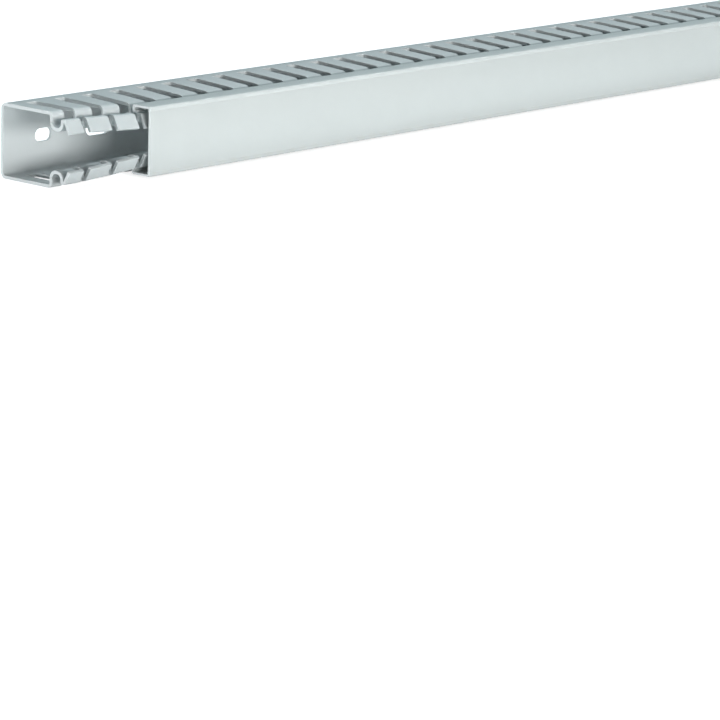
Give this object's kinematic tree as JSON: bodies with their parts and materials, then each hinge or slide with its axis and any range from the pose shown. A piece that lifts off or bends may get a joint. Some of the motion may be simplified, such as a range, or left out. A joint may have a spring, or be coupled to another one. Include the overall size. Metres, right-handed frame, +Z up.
{
  "type": "slotted wire duct",
  "caption": "Straight slotted wire duct: a punched U-shaped channel with finger side walls and obround fixing holes, and a plain clip-on cover set back from one end.",
  "frame": {"origin": "on the floor, under the middle of the outline of channel and cover together", "axes": "+X along the duct away from the cut end that the picture shows, +Y from the cover to the back wall, +Z up from the slotted side that it lies on"},
  "size_m": [0.5344, 0.034, 0.025],
  "materials": {
    "channel_pvc": "light grey rigid PVC, satin extruded surface with matte punched edges",
    "cover_pvc": "light grey rigid PVC, satin extruded surface"
  },
  "bodies": {
    "channel": {"base_channel": "channel_pvc"},
    "cover": {"cover": "cover_pvc"}
  },
  "joints": [
    {"name": "cover_slide", "type": "slide", "parent": "channel", "child": "cover", "axis": [1, 0, 0], "range_m": [-0.0343, 0.25]}
  ]
}
